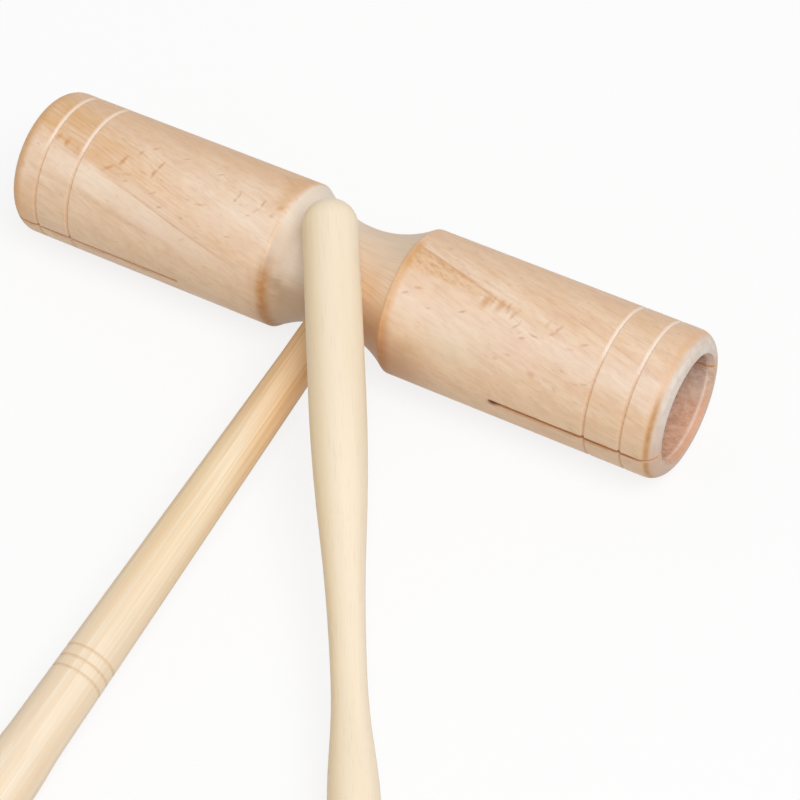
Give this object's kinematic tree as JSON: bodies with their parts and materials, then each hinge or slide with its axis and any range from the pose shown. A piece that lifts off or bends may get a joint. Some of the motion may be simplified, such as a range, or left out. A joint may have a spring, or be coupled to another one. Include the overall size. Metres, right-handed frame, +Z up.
{
  "type": "tone block",
  "caption": "Turned wooden tone block: slit, open-ended tubes of different depth on either side of a narrow waist, a long handle set into the waist, and a loose beater lying across it.",
  "frame": {"origin": "on the table, under the middle of the space that the block, handle and beater take as they lie", "axes": "+X along the block towards its high tube, -Y the way the handle points, +Z up from the table"},
  "size_m": [0.1918, 0.1994, 0.0467],
  "materials": {
    "block_wood": "sanded, unvarnished beech",
    "handle_wood": "sanded, straight grain",
    "beater_wood": "sanded, fine straight grain"
  },
  "bodies": {
    "instrument": {"tone_block": "block_wood", "handle": "handle_wood"},
    "beater": {"beater": "beater_wood"}
  },
  "joints": [
    {"name": "beater_lift", "type": "slide", "parent": "instrument", "child": "beater", "axis": [0, 0, 1], "range_m": [0, 0.12]}
  ]
}
